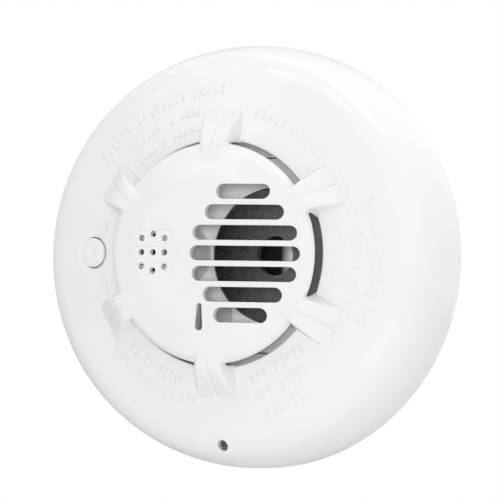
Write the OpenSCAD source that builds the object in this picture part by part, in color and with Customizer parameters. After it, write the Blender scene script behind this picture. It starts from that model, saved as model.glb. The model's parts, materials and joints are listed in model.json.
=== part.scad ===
// Wall-mounted carbon monoxide alarm: a round battery-powered head that twists onto a mounting plate.
// Modules draw each piece in the head's own frame, with z pointing out of the wall and the wall at z = 0.
// place() turns that frame upright: the wall is the plane y = 0, the face looks along -Y, and Z is up.

/* [Front cover] */
// Diameter of the front cover at its widest
cover_d = 137; // [136:0.5:138]
// Depth from the wall to the raised centre of the cap
depth = 50; // [49.5:0.5:52]
// Wall thickness of the moulded covers
wall = 2.2; // [2:0.1:2.4]
// Radius of the round opening that the cap stands over
ring_in_r = 36.2; // [36:0.1:36.6]
// Fall of the ring towards the shoulder, in degrees
ring_slope = 13.6; // [13:0.2:14.2]
// Radius of the cap
cap_r = 35.1; // [34.9:0.1:35.3]
// Radius of the flat centre of the cap
plateau_r = 24; // [23:0.5:25]

/* [Spokes] */
// Number of raised spokes between the cap and the ring
spoke_count = 6; // [4:1:6]
// Radius at which the spokes end
spoke_out_r = 46.2; // [45.5:0.1:46.5]
// Half width of a spoke where it leaves the cap
spoke_half_in = 3; // [2.8:0.1:3.2]
// Widening of each side of a spoke, in degrees
spoke_taper = 12.5; // [12:0.5:13]

/* [Grille] */
// Height of one sound slot
slot_h = 4.7; // [4.5:0.1:4.9]
// Distance between neighbouring slots
slot_pitch = 6.5; // [6.4:0.1:6.6]
// Length of the middle slot
slot_middle = 37.3; // [36:0.1:38]
// Length of the two slots next to the middle one
slot_second = 35.3; // [34:0.1:36]
// Length of the third slots, counted from the middle
slot_third = 26.8; // [25:0.1:28]
// Length of the outermost slots
slot_outer = 18; // [16:0.1:18.4]
// Place of the grille and the horn across the face
horn_x = 12.9; // [12.7:0.1:13.1]
// Place of the gas sensor across the face
sensor_x = -18.7; // [-19:0.1:-18.5]
// Diameter of a gas inlet hole
inlet_d = 2; // [1.8:0.1:2.2]

/* [Test button] */
// Place of the test button across the face
button_x = -45.7; // [-45.9:0.1:-45.5]
// Diameter of the test button
button_d = 9.4; // [9.2:0.1:9.6]
// Travel of the test button
button_travel = 1; // [0.6:0.1:1.1]

/* [Mounting plate] */
// Diameter of the mounting plate
plate_d = 120; // [119:0.5:121]
// Thickness of the mounting plate
plate_t = 2.4; // [2.2:0.1:2.6]
// Diameter of the central cable opening
cable_d = 52; // [50:1:54]
// Distance between the upright pair of screw slots
upright_spacing = 83.3; // [82:0.1:84]
// Distance between the level pair of screw slots
level_spacing = 88.9; // [88:0.1:89.4]
// Width of a screw slot
screw_slot_w = 4.2; // [4:0.1:4.6]
// Length of a screw slot
screw_slot_l = 8; // [7:0.5:9]
// Turn that frees the head from the plate, in degrees
unlock_turn = 15; // [15:1:16]

/* [Hidden] */
$fn = 96;

cut = 0.01; // overlap that keeps cuts and joins clean
gap = 0.4; // clearance between a moving piece and its guide

// Heights of the front cover
widest_z = depth - 40;
ring_z = depth - 9.5;
cap_edge_z = depth - 5;
skirt_z = 3.5;
cover_r = cover_d / 2;

// Section of the front cover: a sloping ring, a tight shoulder and a long side arc
side_r = 54.5;
side_c = [cover_r - side_r, widest_z];
shoulder_r = 10.6;
ring_n = [sin(ring_slope), cos(ring_slope)];
ring_d = [cos(ring_slope), -sin(ring_slope)];
shoulder_from = [ring_in_r, ring_z] - shoulder_r * ring_n;
shoulder_b = (shoulder_from - side_c) * ring_d;
shoulder_q = (shoulder_from - side_c) * (shoulder_from - side_c) - pow(side_r - shoulder_r, 2);
shoulder_c = shoulder_from + (sqrt(shoulder_b * shoulder_b - shoulder_q) - shoulder_b) * ring_d;
side_n = (shoulder_c - side_c) / norm(shoulder_c - side_c);

// Cap section: a flat centre, a gentle fall and a round rim
cap_slope = 14.5;
cap_round = 2.8;
cap_skirt = 1;
cap_fall_r = cap_r - cap_round;
opening_lip = 4;

function ring_surface(r) = ring_z - (r - ring_in_r) * tan(ring_slope);
function cap_surface(r) = depth - max(0, r - plateau_r) * tan(cap_slope);
function curve(a, b, c, t) = (1 - t) * (1 - t) * a + 2 * t * (1 - t) * b + t * t * c;

// Spoke section and outline
spoke_in_r = 28.5;
spoke_corner = 1.8;
spoke_lean = 18.7; // lean of a spoke's sides
spoke_side_turn = 5.9; // turn of a leaning side from the spoke's own direction
spoke_wall = 1.9;
spoke_roof = 2.6;
spoke_a = [32, cap_surface(32) + 0.4];
spoke_b = [39, spoke_a.y - 0.3];
spoke_c = [44.3, ring_surface(44.3) + 1.5];
spoke_end = [spoke_out_r, ring_surface(spoke_out_r) - 0.15];
spoke_steps = 6;
spoke_top = concat(
    [[spoke_in_r, cap_surface(spoke_in_r)]],
    [for (i = [0:spoke_steps]) curve(spoke_a, spoke_b, spoke_c, i / spoke_steps)],
    [spoke_end]
);
groove_wide = 1.3;
groove_deep = 0.9;
groove_runs = 3;

// Grille, inlet and lamp window
slot_lengths = [slot_middle, slot_second, slot_third, slot_outer];
inlet_pitch_x = 4.05;
inlet_pitch_y = [4.5, 5.8, 4.5];
pocket_deep = 0.4;
window_at = [-1.9, -20.2];
window_len = 8.6;
window_r = [0.85, 1.35];

// Shallow dish in the ring around the test button
dish_r = 27;
dish_deep = 0.75;
button_gap = 0.3;
guide_low = 27.5;

// Rear housing and its twist lock
housing_r = cover_r - wall - gap;
floor_z = 8;
floor_t = 2;
housing_wall_top = 12.6;
lug_in_r = 58.9;
lug_out_r = 62.4;
lug_low = 4.5;
lug_t = 1.5;
lug_span = 16;
tab_span = 12;
tab_out_r = 60.9;
tab_low = 6.3;
tab_t = 1.4;
lock_at = 75;
lock_count = 4;
stop_gap = 0.6;
stop_span = 1.6;

// Circuit board
board_z = 16.4;
board_t = 1.6;
board_top = board_z + board_t;
board_r = 60.5;
board_half = 30.6;
board_hole_at = [50.5, 24];
boss_r = 3.6;

// Batteries: two AA cells, each in a well of the rear housing that opens towards the wall
cell_r = 7.25;
cell_len = 50.5;
cell_y = 41;
cell_z = 15.1;
well_len = 59;
well_in_w = 15.8;
well_wall = 1.6;
well_top = 24.2;

// Horn
horn_top = depth - 25;
horn_r = 21.6;
horn_port_r = 6.3;
deck_r = 31.2;
deck_z = horn_top - 0.6;
deck_t = 1.6;

// Housing screws and the hole for a locking screw
screw_at_r = 57;
screw_count = 4;
screw_boss_top = 13;
lock_hole_r = 1.7;
lock_y = -60.9;
lock_boss_r = 3.4;
tamper_at = [-34, 8];

module place() {
    rotate([90, 0, 0]) children();
}

module ring_of(count, start = 0) {
    for (i = [0:count - 1]) rotate(start + i * 360 / count) children();
}

module tube(r_out, r_in, low, high) {
    translate([0, 0, low]) difference() {
        cylinder(r = r_out, h = high - low);
        translate([0, 0, -1]) cylinder(r = r_in, h = high - low + 2);
    }
}

module disc(r, low, high) {
    translate([0, 0, low]) cylinder(r = r, h = high - low);
}

module block(x, y, low, high) {
    translate([-x / 2, -y / 2, low]) cube([x, y, high - low]);
}

// Sector of a ring, centred on the x axis, between two radii and two heights
module sector(r_in, r_out, span, low, high) {
    translate([0, 0, low]) rotate(-span / 2) rotate_extrude(angle = span)
        translate([r_in, 0]) square([r_out - r_in, high - low]);
}

module stadium(length, width, height) {
    cube([length - width, width, height], center = true);
    for (s = [-1, 1]) translate([s * (length - width) / 2, 0, 0])
        cylinder(d = width, h = height, center = true);
}

// ---------- Front cover ----------

// Section under the skin of the cover, moved inwards by t
module under_skin(t) {
    difference() {
        intersection() {
            union() {
                translate([0, skirt_z]) square([cover_r - t, widest_z - skirt_z]);
                translate(side_c) circle(r = side_r - t);
            }
            polygon([
                [ring_in_r, skirt_z],
                [ring_in_r, ring_z] - [0, t / ring_n.y],
                [cover_r + 5, ring_surface(cover_r + 5)] - [0, t / ring_n.y],
                [cover_r + 5, skirt_z]
            ]);
        }
        polygon([shoulder_c, shoulder_c + 2 * shoulder_r * ring_n, shoulder_c + 2 * shoulder_r * side_n]);
    }
    translate(shoulder_c) circle(r = shoulder_r - t);
}

module cover_ring() {
    rotate_extrude() difference() {
        under_skin(0);
        under_skin(wall);
        translate([ring_in_r - 1, skirt_z - 1]) square([cover_r - wall - ring_in_r + 1, 4]);
    }
    tube(ring_in_r + wall, ring_in_r, ring_z - opening_lip, ring_surface(ring_in_r + wall));
}

module cap() {
    rotate_extrude() {
        difference() {
            union() {
                polygon([
                    [0, cap_edge_z],
                    [0, depth],
                    [plateau_r, depth],
                    [cap_fall_r, cap_surface(cap_fall_r)],
                    [cap_fall_r, cap_edge_z]
                ]);
                intersection() {
                    translate([cap_fall_r, cap_edge_z]) circle(r = cap_round);
                    translate([cap_fall_r - cut, cap_edge_z]) square([cap_round + 1, cap_round + 1]);
                }
                translate([cap_r - 1.9, cap_edge_z - cap_skirt]) square([1.9, cap_skirt + cut]);
            }
            polygon([
                [0, cap_edge_z - 1],
                [0, depth - wall],
                [plateau_r, depth - wall],
                [cap_fall_r - 1.2, cap_surface(cap_fall_r) - wall],
                [cap_fall_r - 0.6, cap_edge_z - 1]
            ]);
        }
    }
}

function spoke_half(r) = spoke_half_in + (r - spoke_in_r) * tan(spoke_taper);

// Outline of a spoke seen from the front
module spoke_outline() {
    mid_r = spoke_out_r - spoke_corner;
    mid_y = spoke_half(mid_r) - spoke_corner / cos(spoke_taper);
    side = spoke_corner * [-sin(spoke_taper), cos(spoke_taper)];
    polygon([
        [spoke_in_r, -spoke_half_in],
        [mid_r + side.x, -mid_y - side.y],
        [spoke_out_r, -mid_y],
        [spoke_out_r, mid_y],
        [mid_r + side.x, mid_y + side.y],
        [spoke_in_r, spoke_half_in]
    ]);
    for (s = [-1, 1]) translate([mid_r, s * mid_y]) circle(r = spoke_corner);
}

// Turns a section drawn in radius and height into a slab across a spoke
module across_spoke(width) {
    rotate([90, 0, 0]) linear_extrude(width, center = true) children();
}

// Space inside one leaning side of a spoke, whose plane passes through the spoke's edge over the cap's rim
module leaning_side() {
    translate([cap_r, spoke_half(cap_r), cap_edge_z + cap_round + 0.1])
        rotate(-spoke_side_turn) rotate([spoke_lean, 0, 0]) translate([-20, -40, -30]) cube([40, 40, 60]);
}

module spoke_body() {
    intersection() {
        union() {
            translate([0, 0, 30]) linear_extrude(25) spoke_outline();
            intersection() {
                leaning_side();
                mirror([0, 1, 0]) leaning_side();
                translate([(cap_r + spoke_out_r) / 2 - 0.7, 0, 0]) block(spoke_out_r - cap_r - 0.6, 30, 30, 55);
            }
        }
        across_spoke(30) polygon(concat(spoke_top, [
            [spoke_out_r + 1, spoke_end.y],
            [spoke_out_r + 1, ring_surface(spoke_out_r) - wall],
            [ring_in_r, ring_z - opening_lip + 1],
            [cap_fall_r + 1, cap_edge_z - 3],
            [spoke_in_r, cap_edge_z + 0.6]
        ]));
    }
}

module spoke_hollow() {
    hollow_from = cap_fall_r + 1.4;
    hollow_to = spoke_out_r - 2.2;
    roof = [for (p = spoke_top) if (p.x > hollow_from && p.x < hollow_to) p - [0, spoke_roof]];
    intersection() {
        translate([0, 0, 30]) linear_extrude(25) polygon([
            [hollow_from, spoke_wall - spoke_half(hollow_from)],
            [hollow_from, spoke_half(hollow_from) - spoke_wall],
            [hollow_to + 1, spoke_half(hollow_to + 1) - spoke_wall],
            [hollow_to + 1, spoke_wall - spoke_half(hollow_to + 1)]
        ]);
        across_spoke(30) polygon(concat(
            [[hollow_from - 1, 32], [hollow_from - 1, roof[0].y + 0.3]],
            roof,
            [[hollow_to, roof[len(roof) - 1].y - 2], [hollow_to, 32]]
        ));
    }
}

// V-groove along the top of a spoke, cut by short straight runs that deepen outwards
module spoke_groove() {
    path = concat(
        [for (i = [0:groove_runs])
            curve(spoke_a, spoke_b, spoke_c, i / groove_runs) - [0, groove_deep * i / groove_runs]],
        [spoke_end - [0, groove_deep]]
    );
    intersection() {
        for (i = [0:groove_runs]) let (a = path[i], run = path[i + 1] - a)
            translate([a.x, 0, a.y]) rotate([0, atan2(-run.y, run.x), 0]) translate([-0.2, 0, 0])
            rotate([90, 0, 90]) linear_extrude(norm(run) + 0.4)
            polygon([[0, 0], [2 * groove_wide, 4 * groove_deep], [-2 * groove_wide, 4 * groove_deep]]);
        disc(spoke_out_r - 0.2, cap_edge_z - 15, depth + 5);
    }
}

module lamp_window(r_plus, low, high) {
    reach = window_len / 2;
    r_top = window_r[0] + r_plus;
    r_low = window_r[1] + r_plus;
    span = window_len - window_r[0] - window_r[1];
    tilt = asin((r_low - r_top) / span);
    top_y = reach - window_r[0];
    low_y = -reach + window_r[1];
    translate([window_at.x, window_at.y, low]) linear_extrude(high - low) {
        translate([0, top_y]) circle(r = r_top);
        translate([0, low_y]) circle(r = r_low);
        polygon([
            [-r_top * cos(tilt), top_y + r_top * sin(tilt)],
            [-r_low * cos(tilt), low_y + r_low * sin(tilt)],
            [r_low * cos(tilt), low_y + r_low * sin(tilt)],
            [r_top * cos(tilt), top_y + r_top * sin(tilt)]
        ]);
    }
}

module grille_cuts() {
    for (i = [0:len(slot_lengths) - 1]) for (s = i == 0 ? [1] : [-1, 1])
        translate([horn_x, s * i * slot_pitch, depth - 4]) stadium(slot_lengths[i], slot_h, 14);
}

module inlet_cuts() {
    for (row = [-1:1]) {
        pocket_len = row == 0 ? 17 : 13.1;
        translate([sensor_x + (row == 0 ? 0.95 : 0.6), row * 5.2, depth])
            stadium(pocket_len, 4.1, 2 * pocket_deep);
        for (column = [-1:1])
            translate([sensor_x + column * inlet_pitch_x, row * inlet_pitch_y[column + 1], depth - 4])
            cylinder(d = inlet_d, h = 8);
    }
}

module button_cuts() {
    translate([button_x, 0, 0]) disc(button_d / 2 + button_gap, ring_z - 10, ring_z + 2);
    translate([button_x, 0, ring_surface(-button_x)]) rotate([0, -ring_slope, 0]) intersection() {
        translate([0, 0, dish_r - dish_deep]) sphere(r = dish_r);
        disc(8, -2, 1.5);
    }
}

// Screw bosses and the button's guide, which end inside the skin of the cover
module cover_bosses() {
    intersection() {
        rotate_extrude() under_skin(wall / 2);
        union() {
            ring_of(screw_count, 45) translate([screw_at_r, 0, 0]) tube(3.5, 1.5, screw_boss_top, ring_z);
            translate([0, lock_y, 0]) disc(lock_boss_r, screw_boss_top, ring_z);
            translate([button_x, 0, 0]) tube(7.9, 6.6, guide_low, ring_z);
        }
    }
}

module front_cover() {
    color("whitesmoke") place() difference() {
        union() {
            cover_ring();
            cap();
            ring_of(spoke_count, 90) spoke_body();
            cover_bosses();
        }
        ring_of(spoke_count, 90) spoke_hollow();
        ring_of(spoke_count, 90) spoke_groove();
        grille_cuts();
        inlet_cuts();
        lamp_window(0, depth - 6, depth + 1);
        button_cuts();
        translate([0, lock_y, 0]) disc(lock_hole_r, screw_boss_top - 1, 40);
    }
}

// ---------- Test button and its switch ----------

flange_top = 33.4;
stem_r = 2.2;
switch_top = board_top + 3.2;
plunger_top = switch_top + 1.4;

module test_button() {
    color("white") place() translate([button_x, 0, 0]) {
        difference() {
            disc(button_d / 2, flange_top - 1.4, 45);
            translate([0, 0, ring_surface(-button_x) + 0.9]) rotate([0, -ring_slope, 0])
                translate([-10, -10, 0]) cube([20, 20, 10]);
            disc(button_d / 2 - 1.4, flange_top - 3, 35);
        }
        tube(6.2, button_d / 2 - 1.4 - cut, flange_top - 1.4, flange_top);
        disc(stem_r, plunger_top, 35.2);
    }
}

module switch_plunger() {
    color("dimgray") place() translate([button_x, 0, 0]) disc(1.65, board_top + 1.4, plunger_top);
}

module test_switch() {
    color("black") place() translate([button_x, 0, 0]) difference() {
        block(7, 7, board_top, switch_top);
        disc(1.95, board_top + 0.2, switch_top + 1);
    }
}

// ---------- Light pipe and lamps ----------

lamps_at = [-3, -23.5];
lamp_pitch = 2.2;
pipe_foot = [4.4, 8];
pipe_low = board_top + 3.4;
pipe_foot_t = 1.1;
pipe_bend = horn_top + 2;
pipe_riser_at = [-1.9, -22.9];
pipe_riser = [2.6, 1.6];

module light_pipe() {
    color("gainsboro", 0.6) place() {
        lamp_window(-0.2, pipe_bend, depth - 1);
        translate([pipe_riser_at.x, pipe_riser_at.y, 0])
            block(pipe_riser.x, pipe_riser.y, pipe_low, pipe_bend + 1);
        translate([lamps_at.x, lamps_at.y, 0]) {
            block(pipe_foot.x, pipe_foot.y, pipe_low, pipe_low + pipe_foot_t);
            for (s = [-1, 1]) translate([0, s * (pipe_foot.y / 2 - 0.3), 0])
                block(3, 0.6, board_top, pipe_low + 1);
        }
    }
}

module status_leds() {
    for (i = [-1:1]) color(["red", "gold", "limegreen"][i + 1]) place()
        translate([lamps_at.x, lamps_at.y + i * lamp_pitch, board_top]) {
            disc(1, 0, 1.8);
            translate([0, 0, 1.8]) sphere(r = 1);
        }
}

// ---------- Rear housing and mounting plate ----------

module well_outside(y) {
    translate([0, y, 0]) block(well_len + 2 * well_wall, well_in_w + 2 * well_wall, floor_z, well_top);
}

module well_inside(y) {
    translate([0, y, 0]) block(well_len, well_in_w, floor_z - 1, well_top - well_wall);
}

module twist_lugs() {
    ring_of(lock_count, lock_at) {
        sector(lug_in_r, lug_out_r, lug_span, lug_low, lug_low + lug_t);
        rotate(tab_span / 2 + stop_gap + stop_span / 2)
            sector(lug_in_r, lug_out_r, stop_span, lug_low, floor_z + cut);
        rotate(-tab_span / 2 - unlock_turn - stop_gap - stop_span / 2)
            sector(lug_in_r, lug_out_r, stop_span, lug_low, floor_z + cut);
    }
}

module rear_housing() {
    color("whitesmoke") place() difference() {
        union() {
            disc(housing_r, floor_z, floor_z + floor_t);
            tube(housing_r, lug_out_r - cut, lug_low, housing_wall_top);
            twist_lugs();
            for (s = [-1, 1]) well_outside(s * cell_y);
            ring_of(screw_count, 45) translate([screw_at_r, 0, 0]) disc(4.8, floor_z, screw_boss_top);
            translate([0, lock_y, 0]) disc(lock_boss_r, floor_z, screw_boss_top);
            for (x = [-1, 1]) for (y = [-1, 1])
                translate([x * board_hole_at.x, y * board_hole_at.y, 0]) disc(boss_r, floor_z, board_z);
            translate([tamper_at.x, tamper_at.y, 0]) disc(3.4, floor_z, board_z - 4.4);
        }
        for (s = [-1, 1]) well_inside(s * cell_y);
        ring_of(screw_count, 45) translate([screw_at_r, 0, 0]) {
            disc(1.7, floor_z - 1, screw_boss_top + 1);
            disc(3.2, floor_z - 1, screw_boss_top - 2);
        }
        translate([0, lock_y, 0]) disc(lock_hole_r, lug_low - 1, screw_boss_top + 1);
        for (x = [-1, 1]) for (y = [-1, 1])
            translate([x * board_hole_at.x, y * board_hole_at.y, 0])
            disc(1.45, floor_z + floor_t, board_z + 1);
        translate([tamper_at.x, tamper_at.y, 0]) disc(1.7, floor_z - 1, board_z);
    }
}

module screw_slot() {
    stadium(screw_slot_l, screw_slot_w, 12);
}

module mounting_plate() {
    rim_out_r = plate_d / 2 - 2.5;
    rim_t = 2;
    color("whitesmoke") place() difference() {
        union() {
            disc(plate_d / 2, 0, plate_t);
            tube(rim_out_r, rim_out_r - rim_t, 0, tab_low + tab_t);
            tube(cable_d / 2 + 2, cable_d / 2, 0, plate_t + 1.4);
            ring_of(lock_count, lock_at)
                sector(rim_out_r - 1, tab_out_r, tab_span, tab_low, tab_low + tab_t);
            translate([0, lock_y, 0]) disc(4, 0, plate_t);
            ring_of(8, 22.5) translate([41.5, 0, 0]) block(28, 1.6, 0, plate_t + 1.4);
        }
        disc(cable_d / 2, -1, 20);
        for (s = [-1, 1]) {
            translate([s * level_spacing / 2, 0, 0]) screw_slot();
            translate([0, s * upright_spacing / 2, 0]) rotate(90) screw_slot();
        }
        translate([0, lock_y, 0]) disc(1.3, -1, plate_t + 1);
    }
}

// ---------- Circuit board and what stands on it ----------

module circuit_board() {
    color("darkgreen") place() difference() {
        intersection() {
            disc(board_r, board_z, board_top);
            block(2 * board_r, 2 * board_half, board_z - 1, board_top + 1);
        }
        for (x = [-1, 1]) for (y = [-1, 1])
            translate([x * board_hole_at.x, y * board_hole_at.y, 0]) disc(1.6, board_z - 1, board_top + 1);
    }
}

// Deck round the horn, with a collar for the horn, an opening for the sensor and three posts
module horn_holder() {
    color("lightgray") place() {
        difference() {
            union() {
                translate([horn_x, 0, 0]) {
                    disc(horn_r + 2, board_top, deck_z);
                    disc(deck_r, deck_z - deck_t, deck_z);
                    disc(horn_r + 1.1, deck_z - cut, deck_z + 0.5);
                }
                translate([sensor_at, 0, 0]) disc(sensor_sleeve_r + 1.2, deck_z - deck_t, deck_z);
            }
            translate([horn_x, 0, 0]) disc(horn_r + gap, board_top - 1, horn_top + 2);
            translate([sensor_at, 0, 0]) disc(sensor_can_r + 0.5, deck_z - 3, horn_top + 2);
            translate([pipe_riser_at.x, pipe_riser_at.y, 0])
                block(pipe_riser.x + 0.6, pipe_riser.y + 0.6, deck_z - 3, horn_top + 2);
        }
        translate([horn_x, 0, 0]) ring_of(3, 30)
            translate([horn_r + 5, 0, 0]) disc(2, board_top, deck_z - deck_t + cut);
    }
}

module horn_body() {
    color("black") place() translate([horn_x, 0, 0]) {
        tube(horn_r, horn_port_r, horn_top - 1.4, horn_top);
        tube(horn_r, horn_r - 1.6, board_top + 0.4, horn_top - 1.4 + cut);
        tube(horn_port_r + 1.2, horn_port_r, horn_top - 3, horn_top + 0.5);
        tube(horn_r - 1.6 + cut, 16.5, board_top + 2.6, board_top + 3.4);
    }
}

module piezo_disc() {
    color("goldenrod") place() translate([horn_x, 0, 0]) {
        disc(17.5, board_top + 2.2, board_top + 2.5);
        disc(12.5, board_top + 2.5 - cut, board_top + 2.75);
    }
}

module horn_contacts() {
    color("silver") place() for (s = [-1, 1]) translate([horn_x + s * 10, 0, 0]) {
        block(2, 1.4, board_top, board_top + 0.6);
        translate([0.7, 0, 0]) block(0.6, 1.4, board_top + 0.6 - cut, board_top + 1.7);
        block(2, 1.4, board_top + 1.7 - cut, board_top + 2.15);
    }
}

sensor_at = sensor_x - 1.5;
sensor_can_r = 8.8;
sensor_sleeve_r = 10.2;
sensor_can_top = board_top + 15.5;

module co_sensor() {
    color("silver") place() translate([sensor_at, 0, 0]) {
        disc(sensor_can_r, board_top + 1, sensor_can_top - 1.2);
        disc(7.6, sensor_can_top - 1.2 - cut, sensor_can_top);
        for (a = [0, 120, 240]) rotate(a) translate([5.5, 0, 0]) disc(0.6, board_top, board_top + 1 + cut);
    }
}

module sensor_filter() {
    color("black") place() translate([sensor_at, 0, 0])
        disc(7.6, sensor_can_top + 0.1, sensor_can_top + 3.2);
}

// Sleeve round the sensor that stands on the deck and leads air from the inlet holes to the filter
module sensor_cap() {
    cap_top = depth - wall - 2;
    color("lightgray") place() translate([sensor_at, 0, 0]) difference() {
        disc(sensor_sleeve_r, deck_z, cap_top);
        disc(sensor_can_r + 0.3, deck_z - 1, cap_top - 1.4);
        for (x = [-1:1]) translate([x * 4.6, 0, 0]) block(1.8, x == 0 ? 12 : 8, 40, depth);
    }
}

module microcontroller() {
    color("black") place() translate([-8, 23, 0]) {
        block(8, 8, board_top + 0.1, board_top + 1.5);
        for (turn = [0:3]) rotate(90 * turn) for (i = [-3:3])
            translate([4.4, i, 0]) block(1.4, 0.4, board_top, board_top + 0.5);
    }
}

module capacitors() {
    color("dimgray") place() for (at = [[-31, -22, 3.1], [-22, -24.5, 2.5], [50, -14, 3.1], [50, 13, 2.5]])
        translate([at.x, at.y, 0]) {
            disc(at.z, board_top, board_top + 1.2);
            disc(at.z - 0.2, board_top + 1.2 - cut, board_top + 7.5);
        }
}

module horn_coil() {
    color("sienna") place() translate([-36, -5, 0]) {
        disc(4, board_top, board_top + 1);
        disc(3.2, board_top + 1 - cut, board_top + 6);
        disc(4, board_top + 6 - cut, board_top + 7);
    }
}

module radio_module() {
    color("silver") place() translate([-34, 22.5, 0]) {
        block(16, 12, board_top, board_top + 0.8);
        translate([1, 0, 0]) block(12, 10, board_top + 0.8 - cut, board_top + 2.8);
    }
}

// Loop of stiff wire that stands along the edge of the board
module antenna() {
    wire_r = 0.6;
    loop_r = 56.6;
    half_angle = 18;
    color("peru") place() {
        translate([0, 0, board_top + 5]) rotate(180 - half_angle) rotate_extrude(angle = 2 * half_angle)
            translate([loop_r, 0]) circle(r = wire_r);
        for (a = [-1, 1]) rotate(180 + a * half_angle) translate([loop_r, 0, 0])
            disc(wire_r, board_top, board_top + 5.2);
    }
}

// ---------- Batteries and their contacts ----------

module along_cell(y) {
    translate([0, y, cell_z]) rotate([0, 90, 0]) children();
}

module battery_cells() {
    for (s = [-1, 1]) color("darkgoldenrod") place() along_cell(s * cell_y) {
        translate([0, 0, -cell_len / 2]) cylinder(r = cell_r, h = cell_len - 1.4);
        translate([0, 0, cell_len / 2 - 1.4 - cut]) cylinder(r = 2.75, h = 1.4 + cut);
    }
}

// Tapered coil of wire between the end of a well and a cell
coil_turns = 3;
coil_steps = 60;
coil_sides = 8;
coil_wire_r = 0.4;
coil_len = (well_len - cell_len) / 2 - 1.35;

function coil_point(i, j) =
    let (t = i / coil_steps, turn = 360 * coil_turns * t, side = 360 * j / coil_sides)
    let (r = 5.2 - 2.4 * t + coil_wire_r * cos(side))
    [r * cos(turn), r * sin(turn), coil_len * t + coil_wire_r * sin(side)];

module coil() {
    polyhedron(
        points = [for (i = [0:coil_steps]) for (j = [0:coil_sides - 1]) coil_point(i, j)],
        faces = concat(
            [[for (j = [coil_sides - 1:-1:0]) j]],
            [for (i = [0:coil_steps - 1]) for (j = [0:coil_sides - 1])
                [
                    i * coil_sides + j,
                    i * coil_sides + (j + 1) % coil_sides,
                    (i + 1) * coil_sides + (j + 1) % coil_sides,
                    (i + 1) * coil_sides + j
                ]],
            [[for (j = [0:coil_sides - 1]) coil_steps * coil_sides + j]]
        )
    );
}

module battery_springs() {
    for (s = [-1, 1]) color("silver") place() translate([-well_len / 2, s * cell_y, 0]) {
        translate([0.35, 0, 0]) block(0.5, 12, floor_z + 1, well_top - 3);
        translate([0.9, 0, cell_z]) rotate([0, 90, 0]) coil();
    }
}

module battery_plates() {
    contact_reach = (well_len - cell_len) / 2 - 0.05;
    for (s = [-1, 1]) color("silver") place() translate([well_len / 2, s * cell_y, 0]) {
        translate([-0.35, 0, 0]) block(0.5, 12, floor_z + 1, well_top - 3);
        translate([-contact_reach, 0, cell_z]) rotate([0, 90, 0])
            cylinder(r1 = 2.4, r2 = 4, h = contact_reach - 0.4);
    }
}

// ---------- Tamper switch, screws and label ----------

module tamper_switch() {
    color("black") place() translate([tamper_at.x, tamper_at.y, 0]) difference() {
        block(7, 7, board_z - 4, board_z);
        disc(1.75, board_z - 5, board_z - 0.4);
    }
}

module tamper_plunger() {
    color("ivory") place() translate([tamper_at.x, tamper_at.y, 0]) {
        disc(1.4, plate_t + 0.15, board_z - 2);
        disc(2.6, plate_t + 0.15, plate_t + 1.2);
    }
}

module screw(head_r, head_t, shank_r, length) {
    difference() {
        cylinder(r = head_r, h = head_t);
        for (a = [0, 90]) rotate(a) block(head_r * 1.3, 0.8, -1, 1);
    }
    translate([0, 0, head_t - cut]) cylinder(r = shank_r, h = length);
}

module housing_screws() {
    color("silver") place() ring_of(screw_count, 45)
        translate([screw_at_r, 0, floor_z + 0.7]) screw(2.8, 2.2, 1.35, 13);
}

module board_screws() {
    color("silver") place() for (x = [-1, 1]) for (y = [-1, 1])
        translate([x * board_hole_at.x, y * board_hole_at.y, board_top + 1.8])
        mirror([0, 0, 1]) screw(2.6, 1.8, 1.3, 7);
}

module rating_label() {
    color("lightgray") place() block(34, 24, floor_z - 0.2, floor_z);
}

front_cover();
test_button();
light_pipe();
rear_housing();
mounting_plate();
circuit_board();
horn_holder();
horn_body();
piezo_disc();
horn_contacts();
co_sensor();
sensor_filter();
sensor_cap();
status_leds();
test_switch();
switch_plunger();
tamper_switch();
tamper_plunger();
battery_cells();
battery_springs();
battery_plates();
radio_module();
antenna();
microcontroller();
capacitors();
horn_coil();
housing_screws();
board_screws();
rating_label();
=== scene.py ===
"""Looks of a round wall-mounted gas alarm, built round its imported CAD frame.

Shapes are worked out in millimetres in the head's own frame: x to the right, y up, z out of the wall.
Front cover and test button are rebuilt as smooth shells with rounded edges; the other nodes are kept.
"""
import json
import math

import bpy
import numpy as np
from mathutils import Matrix, Vector
from mathutils.geometry import delaunay_2d_cdt


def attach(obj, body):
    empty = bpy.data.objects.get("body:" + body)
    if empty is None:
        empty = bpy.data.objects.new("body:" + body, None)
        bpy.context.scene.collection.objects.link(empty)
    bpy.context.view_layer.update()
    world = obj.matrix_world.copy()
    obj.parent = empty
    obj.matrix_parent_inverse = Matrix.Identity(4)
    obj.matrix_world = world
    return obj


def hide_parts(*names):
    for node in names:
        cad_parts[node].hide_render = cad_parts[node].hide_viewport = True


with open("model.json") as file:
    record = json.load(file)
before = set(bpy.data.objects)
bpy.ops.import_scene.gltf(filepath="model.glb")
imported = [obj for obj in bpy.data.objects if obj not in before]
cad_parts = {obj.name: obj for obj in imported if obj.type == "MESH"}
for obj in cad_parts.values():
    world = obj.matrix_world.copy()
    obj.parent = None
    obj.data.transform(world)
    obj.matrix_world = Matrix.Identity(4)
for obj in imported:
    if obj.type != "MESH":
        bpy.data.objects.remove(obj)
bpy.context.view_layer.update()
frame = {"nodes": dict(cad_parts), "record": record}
nodes = frame["nodes"]

# ---------------------------------------------------------------- sizes of the cover, in mm
WALL = 2.2
# Ring: radius and height of its inner rim, its outward fall, and its lip, whose foot and top are rounded.
RING_IN, RING_Z = 36.2, 40.5
SLOPE = math.radians(13.6)
LIP_LOW, LIP_ROUND, LIP_EDGE = 36.5, 0.4, 0.5
# Shoulder and bulging side, as arcs in the section (radius, height), and the skirt below them.
SHOULDER_R = 10.6
SIDE_R, SIDE_C = 54.5, np.array([14.0, 10.0])
SKIRT_Z, SKIRT_ROUND = 3.5, 0.6
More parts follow.
